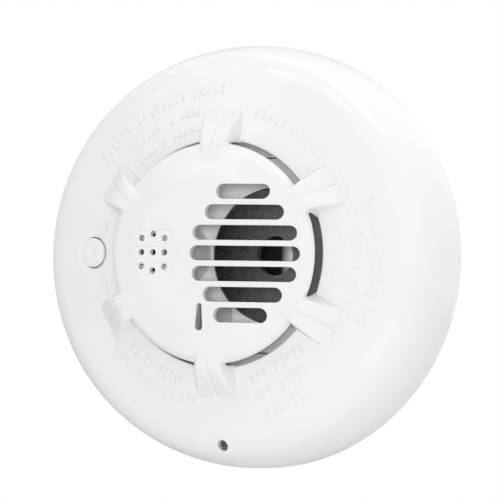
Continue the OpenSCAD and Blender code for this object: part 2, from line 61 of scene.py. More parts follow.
# Unrolled radii between which marks, holes and the button's dish lie.
FLAT_IN, FLAT_OUT = 37, 66
# Cap: a level middle, then a cone, with a rounded rim. Its wall hangs down to CAP_LOW.
CAP_R, CAP_LOW, CAP_ROUND, CAP_WALL = 35.1, 44.0, 2.8, 1.9
CAP_TOP, CAP_SLOPE, PLATEAU_R, PLATEAU_ROUND = 50.0, math.radians(14.5), 24.0, 0.9
# Spokes: they widen outwards, their sides lean, and their edges are rounder near the cap.
SPOKE_IN, SPOKE_OUT, SPOKE_HALF, SPOKE_TAPER = 28.5, 46.2, 3.0, math.radians(12.5)
SPOKE_CORNER, SPOKE_LEAN, FILLET_PLAN = 1.8, 0.338, 0.8
EDGE_END, EDGE_SIDE, EDGE_ROOT = 0.3, 0.55, 1.6
# V-groove along each spoke: where it starts and is fully wide, its half width at both places, and its depth.
GROOVE_IN, GROOVE_OUT, GROOVE_THIN, GROOVE_WIDE, GROOVE_DEEP = 32.2, 45.2, 0.12, 0.70, 0.95
# Test button in its dished hole, and the stem and flange under its top.
BUTTON_X, BUTTON_R, BUTTON_HOLE_R, BUTTON_EDGE = -45.7, 4.7, 5.0, 0.55
DISH_R, DISH_DEEP, DISH_POWER = 6.5, 0.5, 1.3
FLANGE_R, FLANGE_TOP, FLANGE_LOW, STEM_R, STEM_LOW = 6.2, 33.4, 32.0, 2.2, 22.7
LOCK_Y, LOCK_R = -60.9, 1.7
# Sound slots as distance from the middle row, centre and length, and the nine gas inlets.
SLOTS = [(0.0, 13.05, 37.3), (6.5, 12.95, 35.3), (13.0, 12.75, 26.8), (19.5, 12.2, 18.0)]
SLOT_H = 4.7
INLET_X, INLET_R, INLET_PITCH, INLET_ROW, INLET_ROW_MID = -18.67, 1.0, 4.04, 4.5, 5.8
# Lamp window: a tall drop shape between two arcs, each given as height of its centre and radius.
WINDOW_X, WINDOW_TOP, WINDOW_LOW = -1.9, (-16.75, 0.85), (-23.15, 1.35)
# Radii of the rounded rims of holes, slots, inlets and the window.
HOLE_RIM, SLOT_RIM, INLET_RIM, WINDOW_RIM = 0.3, 0.28, 0.12, 0.2
# Shallow pockets round the inlets (centre x, centre y, length), and the ring that an ejector pin left.
POCKETS = [(INLET_X + 0.62, 5.2, 13.1), (INLET_X + 0.92, 0.0, 17.0), (INLET_X + 0.62, -5.2, 13.1)]
POCKET_H, POCKET_DEEP, POCKET_EDGE = 4.1, 0.26, 0.18
EJECT_X, EJECT_R, EJECT_HALF, EJECT_DEEP = -11.4, 0.85, 0.2, 0.1
# Raised bars on the ring: height, width, width of their sloping edge, share of its length that a short one
# keeps, and a distance from its centre that none reaches past.
MARK_H, MARK_W, MARK_EDGE, MARK_SHORT, MARK_REACH = 0.42, 1.0, 0.15, 0.62, 2.2


def ramp(t):
    t = np.clip(t, 0, 1)
    return t * t * (3 - 2 * t)


def soft_corner(u, w):
    """0 below zero and u above it, with a round change of slope 2 w wide."""
    return np.where(u < -w, 0, np.where(u > w, u, (u + w) ** 2 / (4 * w)))


# ---------------------------------------------------------------- profile of the ring
# Its points are (radius, height), from the lip's foot over the top and down to the skirt's foot.
def arc(centre, radius, a0, a1, step):
    n = max(2, int(abs(a1 - a0) * radius / step) + 1)
    a = np.linspace(a0, a1, n)
    return np.stack([centre[0] + radius * np.cos(a), centre[1] + radius * np.sin(a)], 1)


def line(a, b, step):
    n = max(2, int(np.linalg.norm(np.subtract(b, a)) / step) + 1)
    return np.linspace(a, b, n)


ring_n = np.array([math.sin(SLOPE), math.cos(SLOPE)])
ring_d = np.array([math.cos(SLOPE), -math.sin(SLOPE)])
start = np.array([RING_IN, RING_Z]) - SHOULDER_R * ring_n
to_side = start - SIDE_C
half_b = to_side @ ring_d
shoulder_x = math.sqrt(half_b**2 - to_side @ to_side + (SIDE_R - SHOULDER_R) ** 2) - half_b
shoulder_c = start + shoulder_x * ring_d
side_n = (shoulder_c - SIDE_C) / np.linalg.norm(shoulder_c - SIDE_C)
side_a = math.atan2(side_n[1], side_n[0])
top_a = math.pi / 2 - SLOPE
lip_top = np.array([RING_IN, RING_Z])
inner_c = lip_top + LIP_EDGE * np.array([1, -(1 - math.sin(SLOPE)) / math.cos(SLOPE)])
OUT_R = SIDE_C[0] + SIDE_R
outer_profile = np.vstack([
    line((RING_IN + WALL, LIP_LOW), (RING_IN + LIP_ROUND, LIP_LOW), 0.2),
    arc((RING_IN + LIP_ROUND, LIP_LOW + LIP_ROUND), LIP_ROUND, -math.pi / 2, -math.pi, 0.05)[1:],
    line((RING_IN, LIP_LOW + LIP_ROUND), (RING_IN, inner_c[1]), 0.1)[1:],
    arc(inner_c, LIP_EDGE, math.pi, top_a, 0.02)[1:],
    line(inner_c + LIP_EDGE * ring_n, shoulder_c + SHOULDER_R * ring_n, 0.1)[1:],
    arc(shoulder_c, SHOULDER_R, top_a, side_a, 0.05)[1:],
    arc(SIDE_C, SIDE_R, side_a, 0, 0.05)[1:],
    line((OUT_R, SIDE_C[1]), (OUT_R, SKIRT_Z + SKIRT_ROUND), 0.1)[1:],
    arc((OUT_R - SKIRT_ROUND, SKIRT_Z + SKIRT_ROUND), SKIRT_ROUND, 0, -math.pi / 2, 0.05)[1:],
    line((OUT_R - SKIRT_ROUND, SKIRT_Z), (OUT_R - WALL, SKIRT_Z), 0.1)[1:],
])
# The skin is meshed unrolled: RHO is the distance along the profile, scaled so that it equals the plan
# radius on the sloping ring. From the lip's top to the side's widest part, just above SIDE_RHO, the plan
# radius rises with it.
UNROLL_AT, SIDE_RHO = 45, 88
step_len = np.linalg.norm(np.diff(outer_profile, axis=0), axis=1)
arc_len = np.concatenate([[0], np.cumsum(step_len)])
on_line = np.argmin(abs(outer_profile[:, 0] - UNROLL_AT))
RHO = outer_profile[on_line, 0] + (arc_len - arc_len[on_line]) * math.cos(SLOPE)
rising = slice(np.argmax(outer_profile[:, 1] > inner_c[1] + 0.1), np.argmax(RHO > SIDE_RHO))
RHO_IN, RHO_OUT = RHO[0], RHO[-1]


def rho_of(r):
    """The unrolled radius of a point of the outer skin that lies at plan radius r."""
    return np.interp(r, outer_profile[rising, 0], RHO[rising])


def ring_z(r):
    return np.interp(r, outer_profile[rising, 0], outer_profile[rising, 1])


# ---------------------------------------------------------------- raised marks: plain bars in rows
marks = []  # each is x, y, direction of its length, length and width


def places(groups):
    """Position of each bar of a row, from 0 to 1, and its length against the row's height."""
    count = sum(groups) + len(groups) - 1
    k = 0
    for group in groups:
        for i in range(group):
            yield (k + 0.5) / count, MARK_SHORT if (i + group) % 3 == 1 else 1.0
            k += 1
        k += 1


def arc_row(radius, a0, a1, groups, height):
    """A row of bars along an arc, in groups. All stand along the radius, and every third is short."""
    for t, short in places(groups):
        a = math.radians(a0 + (a1 - a0) * t)
        r = radius - height * (1 - short) / 2
        marks.append((r * math.cos(a), r * math.sin(a), a, height * short, MARK_W))


def straight_row(a, b, groups, height):
    """A row of bars along a straight line, which stand across it."""
    a, b = np.array(a), np.array(b)
    d = (b - a) / np.linalg.norm(b - a)
    up = math.atan2(d[0], -d[1])
    for t, short in places(groups):
        x, y = a + (b - a) * t
        marks.append((x, y, up, height * short, MARK_W))


arc_row(52.8, 145.5, 90.5, [6, 8, 5], 2.9)
arc_row(46.7, 133.5, 100.5, [7, 1, 4], 2.7)
arc_row(41.4, 138.5, 101.0, [5, 1, 5], 2.7)
arc_row(46.4, 77.5, 41.0, [5, 3, 2], 3.0)
arc_row(42.0, 173.5, 164.0, [4], 2.4)
arc_row(42.0, 199.5, 187.5, [4], 2.4)
arc_row(41.6, -14.5, 14.0, [7], 3.3)
arc_row(47.2, -35.2, 33.4, [10, 7, 2, 4], 2.9)
arc_row(53.0, -24.8, 21.0, [3, 7, 6], 2.9)
arc_row(42.4, -135.5, -105.5, [2, 2, 5], 2.7)
arc_row(47.6, -142.6, -98.3, [4, 2, 5, 3], 2.7)
straight_row((11.6, -40.8), (30.2, -29.6), [3, 5], 2.8)
straight_row((13.2, -45.4), (31.0, -35.9), [3, 5], 2.8)
straight_row((15.8, -51.0), (29.4, -43.5), [3, 2], 2.8)
MARKS = np.array(marks)


def pill_depth(x, y, m):
    """How far inside a bar a point lies; negative outside."""
    c, s = math.cos(m[2]), math.sin(m[2])
    along = (x - m[0]) * c + (y - m[1]) * s
    across = -(x - m[0]) * s + (y - m[1]) * c
    reach = max(0.0, (m[3] - m[4]) / 2)
    return m[4] / 2 - np.hypot(np.maximum(abs(along) - reach, 0), across)


def pill_loop(m, inset, n=6):
    """Outline of a bar, moved inwards by inset."""
    r = m[4] / 2 - inset
    reach = (m[3] - m[4]) / 2
    a = np.linspace(-math.pi / 2, math.pi / 2, n)
    right = np.stack([reach + r * np.cos(a), r * np.sin(a)], 1)
    loop = np.vstack([right, -right])
    c, s = math.cos(m[2]), math.sin(m[2])
    return loop @ np.array([[c, s], [-s, c]]) + m[:2]


def mark_height(x, y):
    """Height of the raised bars above the ring."""
    h = np.zeros_like(x)
    for m in MARKS:
        near = (abs(x - m[0]) < MARK_REACH) & (abs(y - m[1]) < MARK_REACH)
        if near.any():
            h[near] = np.maximum(h[near], MARK_H * ramp(pill_depth(x[near], y[near], m) / MARK_EDGE))
    return h


def dish(x, y):
    """Depth of the shallow dish round the button."""
    t = np.hypot(x - BUTTON_X, y)
    return -DISH_DEEP * np.clip((DISH_R - t) / (DISH_R - BUTTON_HOLE_R), 0, 1.3) ** DISH_POWER


def ring_skin(p):
    """Outer skin of the ring at unrolled points p."""
    rho = np.hypot(p[:, 0], p[:, 1])
    c, s = p[:, 0] / rho, p[:, 1] / rho
    r = np.interp(rho, RHO, outer_profile[:, 0])
    z = np.interp(rho, RHO, outer_profile[:, 1])
    x, y = r * c, r * s
    flat = (rho > FLAT_IN) & (rho < FLAT_OUT)
    dz = np.where(flat, mark_height(x, y) + dish(x, y), 0)
    return np.stack([x, y, z + dz], 1)


# ---------------------------------------------------------------- heights of the cap and its spokes
# Distance along a spoke, and height of its top there.
SPOKE_KNOTS = np.array([
    [28.5, 48.84], [31.0, 48.42], [33.5, 48.22], [36.0, 47.66], [38.6, 46.0],
    [41.0, 43.7], [43.8, 40.5], [45.2, 38.95], [46.2, 37.95], [47.5, 37.0],
])


def spline(knots, x):
    """Smooth curve through knots, with slopes limited so that it never overshoots."""
    kx, ky = knots[:, 0], knots[:, 1]
    h = np.diff(kx)
    d = np.diff(ky) / h
    m = np.concatenate([[d[0]], 2 * d[1:] * d[:-1] / (d[1:] + d[:-1]), [d[-1]]])
    i = np.clip(np.searchsorted(kx, x) - 1, 0, len(h) - 1)
    t = np.clip((x - kx[i]) / h[i], 0, 1)
    return (
        ky[i] * (1 + 2 * t) * (1 - t) ** 2 + h[i] * m[i] * t * (1 - t) ** 2
        + ky[i + 1] * t * t * (3 - 2 * t) + h[i] * m[i + 1] * t * t * (t - 1)
    )


def cap_z(r):
    return CAP_TOP - math.tan(CAP_SLOPE) * soft_corner(r - PLATEAU_R, PLATEAU_ROUND)


def spoke_top(u):
    return spline(SPOKE_KNOTS, np.clip(u, SPOKE_IN, SPOKE_KNOTS[-1, 0] - 0.1))


def spoke_half(u):
    return SPOKE_HALF + (u - SPOKE_IN) * math.tan(SPOKE_TAPER)


def groove_half(u):
    t = np.clip((u - GROOVE_IN) / (GROOVE_OUT - GROOVE_IN), 0, 1)
    return GROOVE_THIN + (GROOVE_WIDE - GROOVE_THIN) * t


def groove(u, v):
    """V-groove along a spoke: thin at the cap, wide and deep towards the end. Its ends and foot are soft."""
    t = np.clip((u - GROOVE_IN) / (GROOVE_OUT - GROOVE_IN), 0, 1)
    ends = ramp((SPOKE_OUT - 0.2 - u) / 0.7) * ramp((u - GROOVE_IN + 0.2) / 1.5)
    return -GROOVE_DEEP * t ** 0.8 * ends * np.clip(1 - np.sqrt(v * v + 0.004) / groove_half(u), 0, 1)


def in_spoke(x, y):
    """Place along and across the nearest spoke."""
    a = np.arctan2(y, x) - math.pi / 2
    k = np.round(a / (math.pi / 3))
    a = a - k * math.pi / 3
    r = np.hypot(x, y)
    return r * np.cos(a), r * np.sin(a)


def stadium_depth(x, y, cx, cy, length, height):
    """How far inside a slot's outline a point lies; negative outside."""
    reach = (length - height) / 2
    return height / 2 - np.hypot(np.maximum(abs(x - cx) - reach, 0), y - cy)


def cap_height(p):
    """Height of the outer skin of the cap and its spokes.

    Within the cap a spoke rises softly out of the cone, in a step across each of its sides. Near the rim the
    step moves outwards, so that past the rim the spoke's whole width is at its own height.
    """
    x, y = p[:, 0], p[:, 1]
    r = np.hypot(x, y)
    u, v = in_spoke(x, y)
    base = cap_z(r)
    top = spoke_top(u) + groove(u, v)
    inside = spoke_half(u) - abs(v)
    s = ramp((inside + 0.6) / 2.2)
    s = s + (1 - s) * ramp(r - CAP_R + 0.9) * ramp((inside + 3.4) / 2.5)
    lift = (top - base) * s * ramp((u - SPOKE_IN) / 2.5)
    z = base + np.where(r > CAP_R + 0.3, top - base, lift)
    for cx, cy, length in POCKETS:
        z = z - POCKET_DEEP * ramp(stadium_depth(x, y, cx, cy, length, POCKET_H) / POCKET_EDGE)
    from_ring = abs(np.hypot(x - EJECT_X, y) - EJECT_R)
    return z - EJECT_DEEP * ramp(1 - from_ring / EJECT_HALF)


def cap_skin(p):
    return np.column_stack([p, cap_height(p)])


# ---------------------------------------------------------------- mesh building
SNAPS = 2000  # steps per millimetre to which points are rounded before they are joined


def normals_of(skin, p, eps=0.02):
    """Unit normals of a skin that lifts plan points, by differences."""
    du = skin(p + [eps, 0]) - skin(p - [eps, 0])
    dv = skin(p + [0, eps]) - skin(p - [0, eps])
    n = np.cross(du, dv)
    return n / np.maximum(np.linalg.norm(n, axis=1), 1e-12)[:, None]


class Shell:
    """Faces with a normal at every corner. Points that coincide are joined."""

    def __init__(self):
        self.points, self.seen, self.faces, self.corner_normals = [], {}, [], []

    def index(self, pts):
        out = []
        for q in pts:
            key = (round(q[0] * SNAPS), round(q[1] * SNAPS), round(q[2] * SNAPS))
            i = self.seen.get(key)
            if i is None:
                i = self.seen[key] = len(self.points)
                self.points.append(q)
            out.append(i)
        return out

    def add(self, pts, nrm, faces):
        ids = self.index(pts)
        for f in faces:
            g = [ids[i] for i in f]
            if len(set(g)) == len(g):
                self.faces.append(g)
                self.corner_normals.extend(nrm[i] for i in f)

    def band(self, rows, normals, flip=False):
        """Quads between closed rows of points, given from the top down."""
        rows, normals = np.array(rows), np.array(normals)
        k, n = rows.shape[:2]
        faces = []
        for i in range(k - 1):
            for j in range(n):
                a, b = i * n + j, i * n + (j + 1) % n
                c, d = (i + 1) * n + (j + 1) % n, (i + 1) * n + j
                faces.append((a, b, c, d) if flip else (a, d, c, b))
        self.add(rows.reshape(-1, 3), normals.reshape(-1, 3), faces)

    def sheet(self, skin, loops, inner, grid, keep, lines=(), flip=False, near=0.45):
        """Triangulates a flat region and lifts it with skin.

        loops bound the region, inner loops and lines are edges inside it, and grid points fill it, except
        nearer than near to those. keep says which points and triangles belong to the region.
        """
        pts, edges = [], []
        for loop in loops:
            base = len(pts)
            pts.extend(loop)
            edges.extend((base + i, base + (i + 1) % len(loop)) for i in range(len(loop)))
        for path in lines:
            base = len(pts)
            pts.extend(path)
            edges.extend((base + i, base + i + 1) for i in range(len(path) - 1))
        for loop in inner:
            base = len(pts)
            pts.extend(loop)
            edges.extend((base + i, base + (i + 1) % len(loop)) for i in range(len(loop)))
        fixed = np.array(pts)
        free = grid[keep(grid)]
        clear = np.ones(len(free), bool)
        batch = 4000
        for i in range(0, len(free), batch):
            part = free[i : i + batch]
            d2 = ((part[:, None, :] - fixed[None, :, :]) ** 2).sum(2)
            clear[i : i + batch] = d2.min(1) > near**2
        pts = np.vstack([fixed, free[clear]])
        out, _, tris, *_ = delaunay_2d_cdt([Vector(q) for q in pts], edges, [], 0, 1e-6)
        flat = np.array([tuple(q) for q in out])
        tris = np.array([t for t in tris if len(t) == 3])
        mid = flat[tris].mean(1)
        tris = tris[keep(mid)]
        a, b, c = flat[tris[:, 0]], flat[tris[:, 1]], flat[tris[:, 2]]
        area = (b[:, 0] - a[:, 0]) * (c[:, 1] - a[:, 1]) - (b[:, 1] - a[:, 1]) * (c[:, 0] - a[:, 0])
        real = abs(area) > 1e-7
        tris, area = tris[real], area[real]
        tris[area < 0] = tris[area < 0][:, ::-1]
        nrm = normals_of(skin, flat)
        if flip:
            tris, nrm = tris[:, ::-1], -nrm
        self.add(skin(flat), nrm, tris)

    def build(self, name, material):
        """Makes the Blender object, in metres and in the world's axes."""
        mesh = bpy.data.meshes.new(name)
        co = np.array(self.points)
        world = np.column_stack([co[:, 0], -co[:, 2], co[:, 1]]) * 0.001
        mesh.from_pydata(world.tolist(), [], self.faces)
        nrm = np.array(self.corner_normals)
        nrm = np.column_stack([nrm[:, 0], -nrm[:, 2], nrm[:, 1]])
        mesh.polygons.foreach_set("use_smooth", [True] * len(mesh.polygons))
        mesh.normals_split_custom_set(nrm.tolist())
        mesh.materials.append(material)
        obj = bpy.data.objects.new(name, mesh)
        bpy.context.scene.collection.objects.link(obj)
        return obj


def circle(cx, cy, r, n, start_a=0.0):
    a = start_a + np.arange(n) * 2 * math.pi / n
    return np.stack([cx + r * np.cos(a), cy + r * np.sin(a)], 1)


def loop_normals(loop):
    """Unit normals of a counter-clockwise loop, pointing out of it."""
    d = np.roll(loop, -1, 0) - np.roll(loop, 1, 0)
    d /= np.linalg.norm(d, axis=1)[:, None]
    return np.stack([d[:, 1], -d[:, 0]], 1)


def stadium_loop(cx, cy, length, height, inset=0.0, n=16, straight=10):
    """Outline of a slot with round ends, moved inwards by inset."""
    r = height / 2 - inset
    reach = (length - height) / 2
    a = np.linspace(-math.pi / 2, math.pi / 2, n)
    right = np.stack([reach + r * np.cos(a), r * np.sin(a)], 1)
    x = np.linspace(reach, -reach, straight + 1)[1:-1]
    top = np.stack([x, np.full_like(x, r)], 1)
    return np.vstack([right, top, -right, -top]) + [cx, cy]


def opening(shell, loop, skin_at, edge, under_at):
    """Rounded rim and wall of an opening. The wall follows loop. Returns the loop where the rim starts."""
    out = loop_normals(loop)
    rows, normals = [], []
    for a in np.linspace(0, math.pi / 2, 6):
        plan = loop + out * edge * (1 - math.sin(a))
        top, n_top = skin_at(plan)
        top = top - [0, 0, edge * (1 - math.cos(a))]
        n = n_top * math.cos(a) + np.column_stack([-out, np.zeros(len(out))]) * math.sin(a)
        rows.append(top)
        normals.append(n / np.linalg.norm(n, axis=1)[:, None])
    rows.append(np.column_stack([loop, under_at(loop)]))
    normals.append(np.column_stack([-out, np.zeros(len(out))]))
    shell.band(rows, normals, flip=True)
    return loop + out * edge


def hex_grid(reach, step):
    """Points of a triangular grid over a square that reaches this far each way."""
    xs = np.arange(-reach, reach, step)
    ys = np.arange(-reach, reach, step * 0.866)
    rows = [np.stack([xs + (i % 2) * step / 2, np.full(len(xs), y)], 1) for i, y in enumerate(ys)]
    return np.vstack(rows)


def polar_grid(radii, count):
    """Rings of points, each turned by half a step against the last."""
    rows = [circle(0, 0, r, count, (i % 2) * math.pi / count) for i, r in enumerate(radii)]
    return np.vstack(rows)


# ---------------------------------------------------------------- the ring: skin, hole rims and inside
def to_rho(plan):
    """Unrolled place of plan points."""
    r = np.hypot(plan[:, 0], plan[:, 1])
    return plan * (rho_of(r) / r)[:, None]


def ring_at(plan):
    p = to_rho(plan)
    return ring_skin(p), normals_of(ring_skin, p)


inner_profile = outer_profile[rising]
tangent = np.gradient(inner_profile, axis=0)
tangent /= np.linalg.norm(tangent, axis=1)[:, None]
under = inner_profile - WALL * np.stack([-tangent[:, 1], tangent[:, 0]], 1)
under = under[np.argsort(under[:, 0])]
UNDER_IN, UNDER_OUT = RING_IN + WALL, OUT_R - WALL


def ring_under(plan):
    return np.interp(np.hypot(plan[:, 0], plan[:, 1]), under[:, 0], under[:, 1])


def ring_radii():
    """Unrolled radii of the rings of points: close where the profile bends, wide where it is straight.

    Each step turns by 0.13 radians at most where it can, and is 0.1 to 1.25 mm long.
    """
    turn = np.unwrap(np.arctan2(*np.gradient(outer_profile, axis=0).T[::-1]))
    bend = abs(np.gradient(turn) / np.maximum(np.gradient(arc_len), 1e-9))
    radii = []
    rho = RHO_IN
    while rho < RHO_OUT - 0.3:
        near = abs(RHO - rho) < 0.25
        rho += float(np.clip(0.13 / max(bend[near].max(), 0.08), 0.1, 1.25))
        if rho < RHO_OUT - 0.1:
            radii.append(rho)
    return radii


def build_ring(shell):
    button = circle(BUTTON_X, 0, BUTTON_HOLE_R, 72)
    lock = circle(0, LOCK_Y, LOCK_R, 36)
    button_rim = opening(shell, button, ring_at, HOLE_RIM, ring_under)
    lock_rim = opening(shell, lock, ring_at, HOLE_RIM, ring_under)
    count = 400
    edge_in, edge_out = circle(0, 0, RHO_IN, count), circle(0, 0, RHO_OUT, count)
    grid = polar_grid(ring_radii(), count)
    extra = [to_rho(circle(BUTTON_X, 0, r, 84)) for r in (DISH_R, DISH_R - 0.6)]  # edges in the dish
    for m in MARKS:
        for inset in (0.0, MARK_EDGE / 2, MARK_EDGE):
            extra.append(to_rho(pill_loop(m, inset)))

    def keep(p):
        rho = np.hypot(p[:, 0], p[:, 1])
        r = np.interp(rho, RHO, outer_profile[:, 0])
        x, y = p[:, 0] * r / rho, p[:, 1] * r / rho
        ok = (rho > RHO_IN) & (rho < RHO_OUT)
        flat = (rho > FLAT_IN) & (rho < FLAT_OUT)
        ok &= ~(flat & (np.hypot(x - BUTTON_X, y) < BUTTON_HOLE_R + HOLE_RIM))
        return ok & ~(flat & (np.hypot(x, y - LOCK_Y) < LOCK_R + HOLE_RIM))

    loops = [edge_in, edge_out, to_rho(button_rim), to_rho(lock_rim)]
    shell.sheet(ring_skin, loops, extra, grid, keep, near=0.3)

    def under_skin(p):
        return np.column_stack([p, ring_under(p)])

    def keep_under(p):
        r = np.hypot(p[:, 0], p[:, 1])
        ok = (r > UNDER_IN) & (r < UNDER_OUT)
        ok &= np.hypot(p[:, 0] - BUTTON_X, p[:, 1]) > BUTTON_HOLE_R
        return ok & (np.hypot(p[:, 0], p[:, 1] - LOCK_Y) > LOCK_R)

    low_in, low_out = circle(0, 0, UNDER_IN, count), circle(0, 0, UNDER_OUT, count)
    coarse = polar_grid(np.linspace(UNDER_IN + 2, UNDER_OUT - 0.4, 14), 120)
    shell.sheet(under_skin, [low_in, low_out, button, lock], [], coarse, keep_under, flip=True, near=0.8)
    for loop, high, low, sign in (
        (low_in, ring_under(low_in), LIP_LOW, 1), (low_out, ring_under(low_out), SKIRT_Z, -1)
    ):
        out = loop_normals(loop) * sign
        rows = [np.column_stack([loop, high]), np.column_stack([loop, np.full(count, low)])]
        nrm = [np.column_stack([out, np.zeros(count)])] * 2
        shell.band(rows, nrm, flip=sign < 0)


# ---------------------------------------------------------------- the cap with its spokes
def along_spoke(k):
    """Matrix that turns plan points from a spoke's own frame to the k-th spoke's place."""
    a = math.pi / 2 + k * math.pi / 3
    return np.array([[math.cos(a), math.sin(a)], [-math.sin(a), math.cos(a)]])


def sixth_outline():
    """Outline of one spoke and the cap's rim up to the middle of the next gap, with its edge radii.

    Rows are x, y, edge radius, height of the wall's foot and lean of the wall, in the spoke's own frame,
    whose x runs along the spoke.
    """
    side_n = np.array([-math.sin(SPOKE_TAPER), math.cos(SPOKE_TAPER)])
    side_d = np.array([math.cos(SPOKE_TAPER), math.sin(SPOKE_TAPER)])
    # c is the centre of the fillet between the cap's rim and the spoke's side.
    base = np.array([SPOKE_IN, SPOKE_HALF]) + FILLET_PLAN * side_n
    b = base @ side_d
    c = base + (math.sqrt(b * b - base @ base + (CAP_R + FILLET_PLAN) ** 2) - b) * side_d
    on_cap, on_line = c * CAP_R / (CAP_R + FILLET_PLAN), c - FILLET_PLAN * side_n
    # corner is the centre of the round corner at the spoke's end.
    corner_x = SPOKE_OUT - SPOKE_CORNER
    corner_y = spoke_half(corner_x) - SPOKE_CORNER / math.cos(SPOKE_TAPER)
    corner = np.array([corner_x, corner_y])
    side_end = corner + SPOKE_CORNER * side_n

    def foot(x, y):
        return float(ring_z(np.array([np.hypot(x, y)]))[0]) - 1.0

    ys = np.linspace(0, corner_y, 9)[:-1]
    rows = [(SPOKE_OUT, y, EDGE_END, foot(SPOKE_OUT, y), 0.0) for y in ys]
    for a in np.linspace(0, math.pi / 2 + SPOKE_TAPER, 9)[:-1]:
        x, y = corner + SPOKE_CORNER * np.array([math.cos(a), math.sin(a)])
        k = a / (math.pi / 2 + SPOKE_TAPER)
        rows.append((x, y, EDGE_END + (EDGE_SIDE - EDGE_END) * k, foot(x, y), SPOKE_LEAN * k))
    for q in np.linspace(side_end, on_line, 26)[:-1]:
        t = float(ramp((45.0 - q[0]) / 6.5))
        rows.append((q[0], q[1], EDGE_SIDE + (EDGE_ROOT - EDGE_SIDE) * t, foot(*q), SPOKE_LEAN))
    a0 = math.atan2(*(on_line - c)[::-1])
    a1 = math.atan2(*(on_cap - c)[::-1])
    a1 = a1 - 2 * math.pi if a1 > a0 else a1
    for t in np.linspace(0, 1, 9)[:-1]:
        a = a0 + (a1 - a0) * t
        x, y = c + FILLET_PLAN * np.array([math.cos(a), math.sin(a)])
        k = float(ramp(t))
        low = foot(*on_line) * (1 - k) + CAP_LOW * k
        rows.append((x, y, EDGE_ROOT + (CAP_ROUND - EDGE_ROOT) * k, low, SPOKE_LEAN * (1 - k)))
    for a in np.linspace(math.atan2(on_cap[1], on_cap[0]), math.pi / 6, 26):
        rows.append((CAP_R * math.cos(a), CAP_R * math.sin(a), CAP_ROUND, CAP_LOW, 0.0))
    half = np.array(rows)
    mirror = half[1:-1][::-1] * [1, -1, 1, 1, 1]
    return np.vstack([mirror, half])


def cap_outline():
    one = sixth_outline()
    return np.vstack([np.column_stack([one[:, :2] @ along_spoke(k), one[:, 2:]]) for k in range(6)])


def window_loop():
    """Outline of the lamp window: two arcs joined by straight sides."""
    (y_top, r_top), (y_low, r_low) = WINDOW_TOP, WINDOW_LOW
    tilt = math.asin((r_low - r_top) / (y_top - y_low))
    a = np.linspace(-tilt, math.pi + tilt, 12)
    upper = np.stack([WINDOW_X + r_top * np.cos(a), y_top + r_top * np.sin(a)], 1)
    b = np.linspace(math.pi + tilt, 2 * math.pi - tilt, 16)
    lower = np.stack([WINDOW_X + r_low * np.cos(b), y_low + r_low * np.sin(b)], 1)
    t = np.linspace(0, 1, 10)[1:-1, None]  # steps along the straight sides
    left = upper[-1] * (1 - t) + lower[0] * t
    right = lower[-1] * (1 - t) + upper[0] * t
    return np.vstack([upper, left, lower, right])


def cap_at(plan):
    return cap_skin(plan), normals_of(cap_skin, plan)


def point_in(p, loop):
    """True for points inside a closed loop."""
    x, y = p[:, 0], p[:, 1]
    inside = np.zeros(len(p), bool)
    a, b = loop, np.roll(loop, -1, 0)
    for (x0, y0), (x1, y1) in zip(a, b):
        if y0 == y1:
            continue
        cross = ((y0 > y) != (y1 > y)) & (x < (x1 - x0) * (y - y0) / (y1 - y0) + x0)
        inside ^= cross
    return inside


def cap_under(p):
    """Height of the underside of the cap and its spokes."""
    u, _ = in_spoke(p[:, 0], p[:, 1])
    r = np.hypot(p[:, 0], p[:, 1])
    top = np.where(r > SPOKE_IN + 2.5, spoke_top(u), cap_z(r))
    return np.minimum(top, cap_z(r)) - WALL


